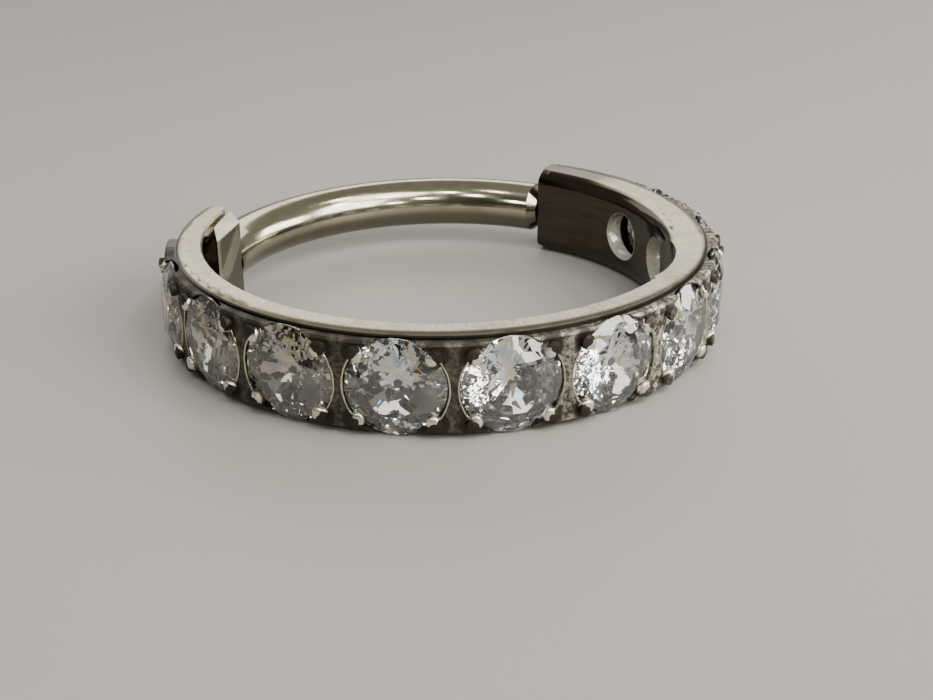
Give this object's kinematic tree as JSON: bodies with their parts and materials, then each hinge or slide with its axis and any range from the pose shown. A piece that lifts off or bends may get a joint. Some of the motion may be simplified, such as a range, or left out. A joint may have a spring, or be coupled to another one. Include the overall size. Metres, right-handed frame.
{
  "type": "clicker ring",
  "caption": "Small hinged hoop: a half band set with a row of round stones, closed by a round wearing bar that swings on a pin and snaps into a clasp block.",
  "frame": {"origin": "on the ring's axis, in the plane of its lower side face", "axes": "+Z along the ring's axis, upwards as it lies on its side; -Y towards the middle of the row of stones"},
  "size_m": [0.0125, 0.0122, 0.0021],
  "materials": {
    "band_steel": "satin polished side faces, bright-cut setting",
    "bar_steel": "mirror polished",
    "pin_steel": "turned",
    "clear_stone": "polished facets"
  },
  "bodies": {
    "band": {"band": "band_steel", "hinge_pin": "pin_steel", "stone_01": "clear_stone", "stone_02": "clear_stone", "stone_03": "clear_stone", "stone_04": "clear_stone", "stone_05": "clear_stone", "stone_06": "clear_stone", "stone_07": "clear_stone", "stone_08": "clear_stone", "stone_09": "clear_stone", "stone_10": "clear_stone"},
    "bar": {"bar": "bar_steel"}
  },
  "joints": [
    {"name": "bar_hinge", "type": "hinge", "parent": "band", "child": "bar", "pos_m": [-0.00543, 0.00151, 0.00105], "axis": [0, 0, 1], "range_deg": [0, 100]}
  ]
}
